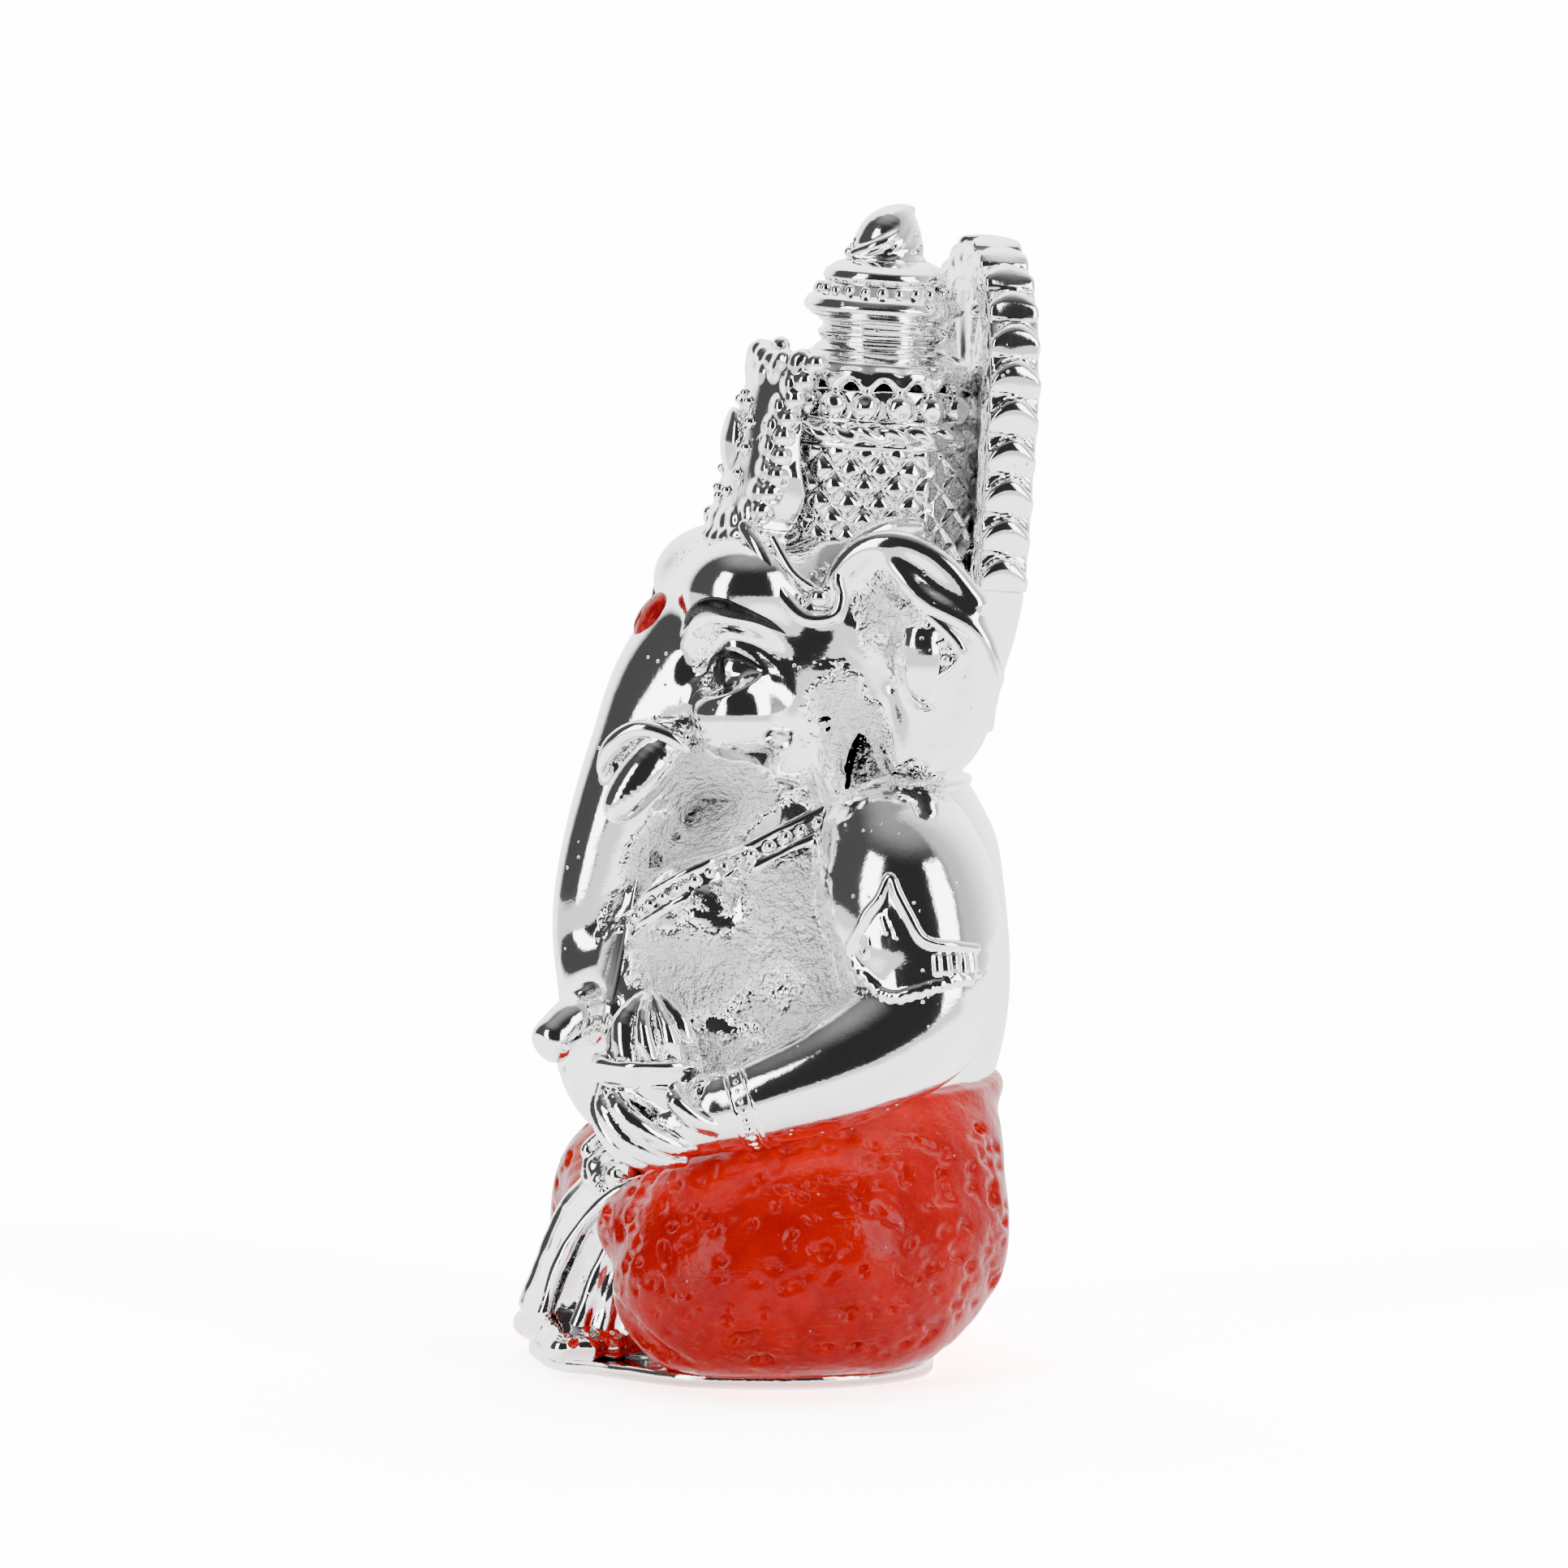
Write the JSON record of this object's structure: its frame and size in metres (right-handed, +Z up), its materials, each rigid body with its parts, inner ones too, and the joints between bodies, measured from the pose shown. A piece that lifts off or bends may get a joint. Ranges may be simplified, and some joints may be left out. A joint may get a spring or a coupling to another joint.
{
  "type": "ganesha idol",
  "caption": "Seated elephant-headed deity figure with a tall crown, a halo behind the head, a sweet bowl in one hand and a red painted wrap over crossed legs.",
  "frame": {"origin": "on the flat base face, under the middle of the seat", "axes": "+Z up from the base to the crown tip, -Y the way the figure faces, +X its left hand's side"},
  "size_m": [0.0528, 0.045, 0.1],
  "materials": {
    "silver_plate": "mirror-bright silver plating with fine pits, cloudy in the recesses",
    "red_enamel": "glossy red enamel, brushed on by hand, with small dimples",
    "black_enamel": "glossy black enamel in single brush strokes",
    "mark_enamel": "glossy dark red enamel drop",
    "casting_resin": "plain cast resin, unpainted",
    "plug_resin": "plain grey plug, matt"
  },
  "bodies": {
    "root": {"base_plate": "silver_plate", "fill_plug": "plug_resin", "resin_core": "casting_resin", "torso_shell": "silver_plate", "dhoti_seat": "red_enamel", "left_thigh": "red_enamel", "right_thigh": "red_enamel", "waist_band": "red_enamel", "front_sash": "silver_plate", "sash_knot": "silver_plate", "left_foot": "silver_plate", "right_foot": "silver_plate", "left_arm": "silver_plate", "right_arm": "silver_plate", "left_hand": "silver_plate", "right_hand": "silver_plate", "left_armlet": "silver_plate", "right_armlet": "silver_plate", "left_bangles": "silver_plate", "right_bangles": "silver_plate", "sweet_bowl": "silver_plate", "sweets": "silver_plate", "head": "silver_plate", "trunk": "silver_plate", "left_ear": "silver_plate", "right_ear": "silver_plate", "left_tusk": "silver_plate", "right_tusk": "silver_plate", "left_eye": "black_enamel", "right_eye": "black_enamel", "left_eyebrow": "black_enamel", "right_eyebrow": "black_enamel", "forehead_mark": "mark_enamel", "left_ear_ornament": "silver_plate", "right_ear_ornament": "silver_plate", "necklace": "silver_plate", "necklace_beads": "silver_plate", "left_temple_strap": "silver_plate", "right_temple_strap": "silver_plate", "crown_band": "silver_plate", "crown_rope": "silver_plate", "crown_gallery": "silver_plate", "crown_studs": "silver_plate", "crown_brim": "silver_plate", "crown_drum": "silver_plate", "crown_ring": "silver_plate", "crown_beads": "silver_plate", "crown_cap": "silver_plate", "crown_finial": "silver_plate", "crown_plaque": "silver_plate", "halo_plate": "silver_plate", "halo_rim": "silver_plate", "halo_rays": "silver_plate"}
  },
  "joints": []
}
